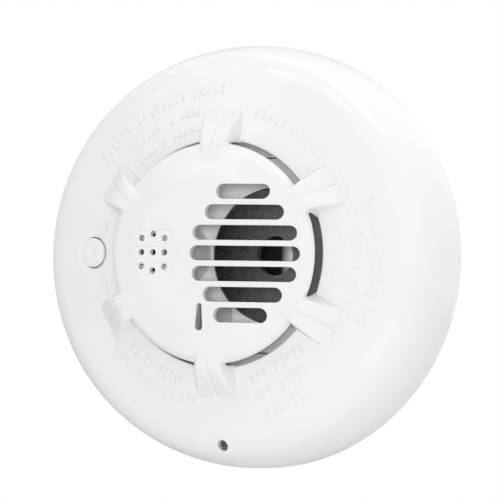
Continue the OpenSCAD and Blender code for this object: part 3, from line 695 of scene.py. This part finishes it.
def build_cap(shell):
    outline = cap_outline()
    loop, edge, foot, lean = outline[:, :2], outline[:, 2:3], outline[:, 3], outline[:, 4:5]
    out = loop_normals(loop)
    level = np.column_stack([out, np.zeros(len(out))])
    rows, normals = [], []
    for a in np.linspace(0, math.pi / 2, 9):
        plan = loop - out * edge * (1 - math.sin(a))
        top, n_top = cap_at(plan)
        top = top - np.column_stack([0 * edge, 0 * edge, edge * (1 - math.cos(a))])
        n = n_top * math.cos(a) + level * math.sin(a)
        rows.append(top)
        normals.append(n / np.linalg.norm(n, axis=1)[:, None])
    rim = loop - out * edge
    foot = np.minimum(foot, rows[-1][:, 2] - 0.4)
    height = (rows[-1][:, 2] - foot)[:, None]
    wall_n = np.column_stack([out, lean])
    wall_n /= np.linalg.norm(wall_n, axis=1)[:, None]
    shell.band(rows, normals)
    wall = [rows[-1]]
    for t in (0.3, 0.65, 1):
        wall.append(np.column_stack([loop + out * lean * height * t, rows[-1][:, 2] - height[:, 0] * t]))
    shell.band(wall, [wall_n] * len(wall))
    inset = loop - out * CAP_WALL
    down = np.tile([0, 0, -1.0], (len(loop), 1))
    shell.band([wall[-1], np.column_stack([inset, foot])], [down, down])
    high = np.maximum(cap_under(inset), foot + 0.2)
    shell.band([np.column_stack([inset, foot]), np.column_stack([inset, high])], [-level, -level])

    walls = []
    for y, cx, length in SLOTS:
        for side in (1, -1) if y else (1,):
            walls.append((stadium_loop(cx, side * y, length, SLOT_H), SLOT_RIM))
    for i in (-1, 0, 1):
        for j in (-1, 0, 1):
            y = j * (INLET_ROW if i else INLET_ROW_MID)
            walls.append((circle(INLET_X + i * INLET_PITCH, y, INLET_R, 28), INLET_RIM))
    walls.append((window_loop(), WINDOW_RIM))
    rims = [opening(shell, h, cap_at, e, cap_under) for h, e in walls]

    extra = []
    for cx, cy, length in POCKETS:
        for inset_by in (0.0, POCKET_EDGE / 2, POCKET_EDGE):
            extra.append(stadium_loop(cx, cy, length, POCKET_H, inset_by, n=20, straight=30))
    for r in (EJECT_R - EJECT_HALF, EJECT_R, EJECT_R + EJECT_HALF):
        extra.append(circle(EJECT_X, 0.0, r, 24))
    lines = []
    groove_u = np.linspace(GROOVE_IN - 0.2, SPOKE_OUT - 0.6, 40)
    side_u = np.linspace(SPOKE_IN + 0.2, CAP_R - 1.1, 20)
    for k in range(6):
        for share in (0, 0.5, 1, -0.5, -1):
            lines.append(np.stack([groove_u, share * groove_half(groove_u)], 1) @ along_spoke(k))
        for side in (-1, 1):
            for into in (-0.6, 0.0, 0.5, 1.0, 1.6):
                path = np.stack([side_u, side * (spoke_half(side_u) - into)], 1)
                within = np.hypot(*path.T) < CAP_R - CAP_ROUND - 0.15
                lines.append(path[within] @ along_spoke(k))
    reach = SPOKE_OUT + 0.8

    def keep(p):
        ok = point_in(p, rim)
        for r in rims:
            near = ((p >= r.min(0)) & (p <= r.max(0))).all(1)
            ok[near] &= ~point_in(p[near], r)
        return ok

    shell.sheet(cap_skin, [rim, *rims], extra, hex_grid(reach, 0.95), keep, lines=lines, near=0.3)

    def under_skin(p):
        return np.column_stack([p, np.maximum(cap_under(p), 0)])

    def keep_under(p):
        ok = point_in(p, inset)
        for h, _ in walls:
            near = ((p >= h.min(0)) & (p <= h.max(0))).all(1)
            ok[near] &= ~point_in(p[near], h)
        return ok

    loops = [inset, *[h for h, _ in walls]]
    shell.sheet(under_skin, loops, [], hex_grid(reach, 2.4), keep_under, flip=True, near=0.9)


# ---------------------------------------------------------------- the test button
def crown(r):
    """Height of the button's top above its plane: a dome with a dish in its middle and a low ring round."""
    dome = 0.3 * (1 - (r / BUTTON_R) ** 2)
    return dome + 0.16 * np.exp(-(((r - 1.95) / 0.28) ** 2)) - 0.22 * ramp((2.2 - r) / 2.2)


def build_button(shell):
    tilt = math.tan(SLOPE)
    top_mid = RING_Z - (-BUTTON_X - RING_IN) * tilt + 0.95
    n = 96
    ring = circle(0, 0, 1, n)
    level = np.column_stack([ring, np.zeros(n)])
    up = np.tile([0, 0, 1.0], (n, 1))
    rows, normals = [], []

    def top_row(r, drop, nrm):
        x, y = ring[:, 0] * r, ring[:, 1] * r
        rows.append(np.stack([BUTTON_X + x, y, top_mid + tilt * x + crown(r) - drop], 1))
        normals.append(nrm / np.linalg.norm(nrm, axis=1)[:, None])

    def flat(r, z):
        return np.column_stack([ring * r + [BUTTON_X, 0], np.full(n, z)])

    for r in np.concatenate([[0.02], np.linspace(0.3, BUTTON_R - BUTTON_EDGE, 18)]):
        slope = (crown(r + 0.01) - crown(r - 0.01)) / 0.02
        top_row(r, 0, np.stack([-tilt - slope * ring[:, 0], -slope * ring[:, 1], np.ones(n)], 1))
    top_n = normals[-1]
    for a in np.linspace(0, math.pi / 2, 8)[1:]:
        r = BUTTON_R - BUTTON_EDGE * (1 - math.sin(a))
        top_row(r, BUTTON_EDGE * (1 - math.cos(a)), top_n * math.cos(a) + level * math.sin(a))
    rows.append(flat(BUTTON_R, FLANGE_TOP))
    normals.append(level)
    shell.band(rows, normals)
    tip = 0.02
    shell.band([flat(BUTTON_R, FLANGE_TOP), flat(FLANGE_R, FLANGE_TOP)], [up, up])
    shell.band([flat(FLANGE_R, FLANGE_TOP), flat(FLANGE_R, FLANGE_LOW)], [level, level])
    shell.band([flat(FLANGE_R, FLANGE_LOW), flat(STEM_R, FLANGE_LOW)], [-up, -up])
    shell.band([flat(STEM_R, FLANGE_LOW), flat(STEM_R, STEM_LOW)], [level, level])
    shell.band([flat(STEM_R, STEM_LOW), flat(tip, STEM_LOW)], [-up, -up])
    face = tuple(range(n))
    shell.add(rows[0], normals[0], [face])
    shell.add(flat(tip, STEM_LOW), -up, [face[::-1]])


# ---------------------------------------------------------------- materials
def new_material(name):
    m = bpy.data.materials.new(name)
    m.use_nodes = True
    nt = m.node_tree
    nt.nodes.clear()
    out = nt.nodes.new("ShaderNodeOutputMaterial")
    bsdf = nt.nodes.new("ShaderNodeBsdfPrincipled")
    nt.links.new(bsdf.outputs["BSDF"], out.inputs["Surface"])
    return m, nt, bsdf


def noise(nt, scale, detail=3.0, rough=0.55, stretch=None):
    """Noise fixed to the object, drawn out along an axis where stretch is small."""
    src = nt.nodes.new("ShaderNodeTexCoord").outputs["Object"]
    if stretch:
        mapping = nt.nodes.new("ShaderNodeMapping")
        mapping.inputs["Scale"].default_value = stretch
        nt.links.new(src, mapping.inputs["Vector"])
        src = mapping.outputs["Vector"]
    tex = nt.nodes.new("ShaderNodeTexNoise")
    tex.inputs["Scale"].default_value = scale
    tex.inputs["Detail"].default_value = detail
    tex.inputs["Roughness"].default_value = rough
    nt.links.new(src, tex.inputs["Vector"])
    return tex.outputs["Fac"]


def ramp_colour(nt, fac, a, b, lo=0.35, hi=0.65):
    r = nt.nodes.new("ShaderNodeValToRGB")
    r.color_ramp.elements[0].position, r.color_ramp.elements[1].position = lo, hi
    r.color_ramp.elements[0].color = (*a, 1)
    r.color_ramp.elements[1].color = (*b, 1)
    nt.links.new(fac, r.inputs["Fac"])
    return r.outputs["Color"]


def map_range(nt, fac, lo, hi, a=0.3, b=0.7):
    """Turns the range a to b of fac into lo to hi."""
    m = nt.nodes.new("ShaderNodeMapRange")
    m.inputs["From Min"].default_value, m.inputs["From Max"].default_value = a, b
    m.inputs["To Min"].default_value, m.inputs["To Max"].default_value = lo, hi
    nt.links.new(fac, m.inputs["Value"])
    return m.outputs["Result"]


def along_axis(nt, axis, start, end, lo=0.0, hi=1.0):
    """A value that goes from lo to hi between two places on one axis of the object, in metres."""
    coord = nt.nodes.new("ShaderNodeTexCoord")
    split = nt.nodes.new("ShaderNodeSeparateXYZ")
    nt.links.new(coord.outputs["Object"], split.inputs["Vector"])
    return map_range(nt, split.outputs[axis], lo, hi, start, end)


def bump(nt, bsdf, fac, distance, strength=1.0, chain=None):
    b = nt.nodes.new("ShaderNodeBump")
    b.inputs["Strength"].default_value = strength
    b.inputs["Distance"].default_value = distance
    nt.links.new(fac, b.inputs["Height"])
    if chain is not None:
        nt.links.new(chain, b.inputs["Normal"])
    nt.links.new(b.outputs["Normal"], bsdf.inputs["Normal"])
    return b.outputs["Normal"]


def material(
    name, dark, light, rough, grain, depth, broad, waves=0.0, metallic=0.0, ior=1.5, stretch=None,
    transmission=0.0, alpha=1.0, coat=0.0,
):
    """A finish whose colour varies broadly from dark to light, with a fine grain in its bump and roughness.

    grain and broad are the scales of the noise, depth and waves the heights of its bumps in metres.
    """
    m, nt, bsdf = new_material(name)
    bsdf.inputs["Metallic"].default_value = metallic
    bsdf.inputs["IOR"].default_value = ior
    bsdf.inputs["Transmission Weight"].default_value = transmission
    bsdf.inputs["Alpha"].default_value = alpha
    bsdf.inputs["Coat Weight"].default_value = coat
    wide = noise(nt, broad, 4.0)
    nt.links.new(ramp_colour(nt, wide, dark, light), bsdf.inputs["Base Color"])
    fine = noise(nt, grain, 3.0, stretch=stretch)
    mid = noise(nt, grain / 9.0, 4.0, stretch=stretch)
    nt.links.new(map_range(nt, mid, rough[0], rough[1]), bsdf.inputs["Roughness"])
    chain = bump(nt, bsdf, fine, depth)
    if waves:
        bump(nt, bsdf, noise(nt, 140.0, 2.0), waves, chain=chain)
    return m


def piezo_painted_crescent():
    """Disc with a painted pool of light: cream on the right where light falls in, and painted shade, dark,
    on the left.
    """
    m, nt, bsdf = new_material("piezo_painted_crescent")
    # painted light and shade: the colour goes from dark to cream along x, as light falls across the disc
    side = along_axis(nt, "X", 0.0131, 0.0163)
    colour = ramp_colour(nt, side, (0.006, 0.006, 0.005), (0.98, 0.96, 0.92), 0.0, 1.0)
    nt.links.new(colour, bsdf.inputs["Base Color"])
    nt.links.new(map_range(nt, noise(nt, 700.0), 0.4, 0.6), bsdf.inputs["Roughness"])
    bump(nt, bsdf, noise(nt, 1800.0), 4e-6)
    return m


def horn_painted_light():
    """Coarse-grained black plastic with painted light: painted lighter towards the right, where light falls,
    and darker to the left as painted shade.
    """
    m, nt, bsdf = new_material("horn_painted_light")
    coarse = noise(nt, 1700.0, 2.0, 0.7)
    # the grain noise below is mixed with painted light: a ramp along x lifts the colour towards the right
    grain = nt.nodes.new("ShaderNodeMath")
    grain.operation = "MULTIPLY_ADD"
    grain.inputs[1].default_value = 0.6
    nt.links.new(coarse, grain.inputs[0])
    nt.links.new(along_axis(nt, "X", -0.010, 0.021, 0.0, 0.62), grain.inputs[2])
    colour = ramp_colour(nt, grain.outputs["Value"], (0.008, 0.008, 0.007), (0.23, 0.227, 0.215), 0.33, 1.08)
    nt.links.new(colour, bsdf.inputs["Base Color"])
    nt.links.new(map_range(nt, noise(nt, 900.0), 0.42, 0.6), bsdf.inputs["Roughness"])
    bsdf.inputs["Specular IOR Level"].default_value = 0.3
    bump(nt, bsdf, coarse, 2.5e-5)
    return m


def pipe_painted_tones():
    """Light pipe in painted tones: a streaky dark tip, painted shade for the dark inside seen through the
    clear window, and below it a light grey stem, painted light against its shadow.
    """
    m, nt, bsdf = new_material("pipe_painted_tones")
    streaks = noise(nt, 1500.0, 3.0, 0.6, stretch=(1, 1, 0.12))
    shade_by_depth = nt.nodes.new("ShaderNodeMix")
    shade_by_depth.data_type = "RGBA"
    shade_by_depth.inputs["A"].default_value = (0.86, 0.87, 0.89, 1)
    # painted shade and light: dark above this depth, light grey below it
    nt.links.new(along_axis(nt, "Y", -0.0470, -0.0455, 1.0, 0.0), shade_by_depth.inputs["Factor"])
    nt.links.new(ramp_colour(nt, streaks, (0.05, 0.042, 0.036), (0.42, 0.39, 0.36)), shade_by_depth.inputs["B"])
    nt.links.new(shade_by_depth.outputs["Result"], bsdf.inputs["Base Color"])
    nt.links.new(map_range(nt, noise(nt, 900.0), 0.1, 0.2), bsdf.inputs["Roughness"])
    bsdf.inputs["Coat Weight"].default_value = 0.3
    bump(nt, bsdf, streaks, 2e-5)
    return m


# Dark and light colour, roughness range, grain, bump depth and broad variation of each slot's finish.
FINISHES = {
    "white_shell": [(0.893, 0.893, 0.884), (0.903, 0.903, 0.894), (0.10, 0.15), 2600, 3e-7, 30],
    "white_matte": [(0.74, 0.74, 0.72), (0.79, 0.79, 0.77), (0.42, 0.55), 2200, 9e-6, 55],
    "clear_plastic": [(0.42, 0.40, 0.37), (0.78, 0.77, 0.74), (0.12, 0.22), 900, 1e-5, 500],
    "board_green": [(0.012, 0.085, 0.03), (0.03, 0.16, 0.06), (0.28, 0.42), 1500, 6e-6, 500],
    "grey_plastic": [(0.90, 0.91, 0.93), (0.94, 0.95, 0.97), (0.38, 0.5), 1800, 3e-6, 80],
    "black_plastic": [(0.03, 0.03, 0.029), (0.07, 0.069, 0.066), (0.38, 0.5), 1500, 2.2e-5, 1800],
    "brass": [(0.62, 0.44, 0.16), (0.80, 0.60, 0.26), (0.22, 0.36), 1200, 4e-6, 200],
    "bright_steel": [(0.50, 0.50, 0.50), (0.68, 0.68, 0.68), (0.2, 0.34), 1600, 4e-6, 300],
    "filter_felt": [(0.01, 0.01, 0.01), (0.035, 0.035, 0.035), (0.85, 0.98), 2500, 8e-5, 900],
    "cell_jacket": [(0.05, 0.055, 0.065), (0.09, 0.095, 0.11), (0.22, 0.32), 1500, 3e-6, 120],
    "copper_wire": [(0.45, 0.16, 0.06), (0.68, 0.30, 0.14), (0.24, 0.36), 1500, 4e-6, 260],
    "label_film": [(0.55, 0.55, 0.54), (0.62, 0.62, 0.61), (0.3, 0.42), 900, 3e-6, 90],
}
EXTRAS = {
    "white_shell": {"waves": 4e-7},
    "clear_plastic": {"transmission": 0.3, "ior": 1.49, "alpha": 0.45},
    "brass": {"metallic": 1.0},
    "bright_steel": {"metallic": 1.0, "stretch": (1, 0.15, 1)},
    "cell_jacket": {"coat": 0.3},
    "copper_wire": {"metallic": 1.0},
}
MAT = {slot: material(slot, *finish, **EXTRAS.get(slot, {})) for slot, finish in FINISHES.items()}
# Nodes with a finish of their own, by the node's name. These finishes carry painted light and shade.
MAT["piezo_disc"] = piezo_painted_crescent()
MAT["horn_body"] = horn_painted_light()
MAT["light_pipe"] = pipe_painted_tones()
# The sensor's sleeve is a lighter copy of the grey plastic, painted light to offset the shade it stands in.
MAT["sensor_cap"] = material(
    "sleeve_painted_light", (0.95, 0.955, 0.97), (0.97, 0.975, 0.98), (0.38, 0.5), 1800, 3e-6, 80
)
slot_of = {s["node"]: s["material_slot"] for s in frame["record"]["subparts"]}


def dress(node, width=0.0, angle=35):
    """Gives a CAD node its material and joins its points. Its edges are rounded by width, or crisp at 0."""
    obj = nodes[node]
    obj.data.materials.clear()
    obj.data.materials.append(MAT.get(node) or MAT[slot_of[node]])
    for p in obj.data.polygons:
        p.use_smooth = True
    weld = obj.modifiers.new("joined", "WELD")
    weld.merge_threshold = 2e-6
    if width:
        bevel = obj.modifiers.new("rounded", "BEVEL")
        bevel.width = width
        bevel.segments = 2
        bevel.limit_method = "ANGLE"
        bevel.angle_limit = math.radians(angle)
        bevel.use_clamp_overlap = True
        bevel.miter_outer = "MITER_ARC"
        even = obj.modifiers.new("even", "WEIGHTED_NORMAL")
        even.mode = "FACE_AREA"
        even.weight = 100
    else:
        crisp = obj.modifiers.new("crisp", "EDGE_SPLIT")
        crisp.split_angle = math.radians(angle)


# ---------------------------------------------------------------- pieces
cover = Shell()
build_ring(cover)
build_cap(cover)
cover_obj = cover.build("cover_shell", MAT["white_shell"])
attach(cover_obj, "head")
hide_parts("front_cover")

button = Shell()
build_button(button)
button_obj = button.build("button_shell", MAT["white_shell"])
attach(button_obj, "button")
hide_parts("test_button")

# Widths of the rounded edges, in metres, of the nodes that have them.
ROUNDED = {"rear_housing": 0.00025, "mounting_plate": 0.0003, "horn_holder": 0.0002, "horn_body": 0.00025}
for name in nodes:
    if name not in ("front_cover", "test_button"):
        dress(name, ROUNDED.get(name, 0.0))

# ---------------------------------------------------------------- stage, light and camera
floor_mat, nt, bsdf = new_material("studio_floor")
bsdf.inputs["Base Color"].default_value = (0.70, 0.70, 0.70, 1)
bsdf.inputs["Roughness"].default_value = 0.9
bump(nt, bsdf, noise(nt, 80.0), 2e-4, 0.3)
floor_mesh = bpy.data.meshes.new("floor")
FLOOR_HALF, FLOOR_Z = 3, -0.6
corners = [(i * FLOOR_HALF, j * FLOOR_HALF, FLOOR_Z) for i, j in ((-1, -1), (1, -1), (1, 1), (-1, 1))]
floor_mesh.from_pydata(corners, [], [(0, 1, 2, 3)])
floor_mesh.materials.append(floor_mat)
floor = bpy.data.objects.new("floor", floor_mesh)
bpy.context.scene.collection.objects.link(floor)

world = bpy.data.worlds.new("studio")
bpy.context.scene.world = world
world.use_nodes = True
wt = world.node_tree
wt.nodes.clear()


def glow(direction, start, end, strength):
    """Extra brightness of the studio round one direction, fading between two cosines."""
    coord = wt.nodes.new("ShaderNodeTexCoord")
    dot = wt.nodes.new("ShaderNodeVectorMath")
    dot.operation = "DOT_PRODUCT"
    dot.inputs[1].default_value = Vector(direction).normalized()
    fade = wt.nodes.new("ShaderNodeMapRange")
    fade.interpolation_type = "SMOOTHSTEP"
    fade.inputs["From Min"].default_value, fade.inputs["From Max"].default_value = start, end
    fade.inputs["To Min"].default_value, fade.inputs["To Max"].default_value = 0.0, strength
    wt.links.new(coord.outputs["Generated"], dot.inputs[0])
    wt.links.new(dot.outputs["Value"], fade.inputs["Value"])
    return fade.outputs["Result"]


def total(base, parts):
    """Sum of a constant and several sockets."""
    result = None
    for part in parts:
        add = wt.nodes.new("ShaderNodeMath")
        add.operation = "ADD"
        if result is None:
            add.inputs[0].default_value = base
        else:
            wt.links.new(result, add.inputs[0])
        wt.links.new(part, add.inputs[1])
        result = add.outputs["Value"]
    return result


# The studio lights the object with this, and the camera sees plain white behind it.
lit = wt.nodes.new("ShaderNodeBackground")
brightness = total(0.18, [
    glow((0.0, 0.0, 1.0), 0.0, 0.9, 0.40),
    glow((-1.0, -0.4, 0.2), 0.0, 0.9, 0.26),
    glow((0.85, 0.8, -0.1), 0.2, 0.9, 0.81),
    glow((-0.6, 0.8, 0.6), 0.2, 0.9, 0.62),
])
wt.links.new(brightness, lit.inputs["Strength"])
seen = wt.nodes.new("ShaderNodeBackground")
seen.inputs["Color"].default_value = (1, 1, 1, 1)
path = wt.nodes.new("ShaderNodeLightPath")
mix = wt.nodes.new("ShaderNodeMixShader")
wt.links.new(path.outputs["Is Camera Ray"], mix.inputs["Fac"])
wt.links.new(lit.outputs["Background"], mix.inputs[1])
wt.links.new(seen.outputs["Background"], mix.inputs[2])
world_out = wt.nodes.new("ShaderNodeOutputWorld")
wt.links.new(mix.outputs["Shader"], world_out.inputs["Surface"])


def towards(azimuth, elevation):
    """Direction from the object, where azimuth 0 is the front and 90 its right."""
    level = math.cos(elevation)
    return Vector((math.sin(azimuth) * level, -math.cos(azimuth) * level, math.sin(elevation)))


def softbox(name, azimuth, elevation, distance, size, radiance, mirrored=True):
    """A plain rectangular light that faces the object. With mirrored off, it doesn't show in reflections."""
    place = distance * towards(math.radians(azimuth), math.radians(elevation))
    data = bpy.data.lights.new(name, "AREA")
    data.shape = "RECTANGLE"
    data.size, data.size_y = size
    data.energy = radiance * math.pi * size[0] * size[1]
    obj = bpy.data.objects.new(name, data)
    obj.location = place
    obj.rotation_mode = "QUATERNION"
    obj.rotation_quaternion = (-place).to_track_quat("-Z", "Y")
    obj.visible_glossy = mirrored
    bpy.context.scene.collection.objects.link(obj)


softbox("fill", 23, 0, 1.8, (0.35, 0.25), 45.5, mirrored=False)
softbox("wall_right", 72, 12, 1.5, (2.8, 0.9), 0.22)
softbox("low_right", 104, -24, 1.5, (0.8, 0.4), 2.3, mirrored=False)
softbox("overhead", 150, 68, 1.3, (1.3, 0.44), 2.0)
softbox("top_left", -35, 42, 1.5, (0.9, 0.9), 0.9)
softbox("top_front", 10, 62, 1.4, (0.9, 0.5), 1.1)

AZIMUTH, ELEVATION, ROLL = math.radians(24.85), math.radians(-1.60), math.radians(1.365)
DISTANCE, LENS, SENSOR = 1.3, 287.96, 36.0
target = Vector((-0.00303, -0.010, 0.00226))
back = towards(AZIMUTH, ELEVATION)
right = Vector((math.cos(AZIMUTH), math.sin(AZIMUTH), 0))
up = back.cross(right)
turned = math.cos(ROLL) * right + math.sin(ROLL) * up
above = -math.sin(ROLL) * right + math.cos(ROLL) * up
camera_data = bpy.data.cameras.new("camera")
camera_data.lens = LENS
camera_data.sensor_width = SENSOR
camera_data.clip_start, camera_data.clip_end = 0.05, 20.0
camera = bpy.data.objects.new("camera", camera_data)
bpy.context.scene.collection.objects.link(camera)
at = target + back * DISTANCE
camera.matrix_world = Matrix((
    (turned.x, above.x, back.x, at.x), (turned.y, above.y, back.y, at.y), (turned.z, above.z, back.z, at.z),
    (0, 0, 0, 1),
))
bpy.context.scene.camera = camera
bpy.context.scene.view_settings.view_transform = "Standard"
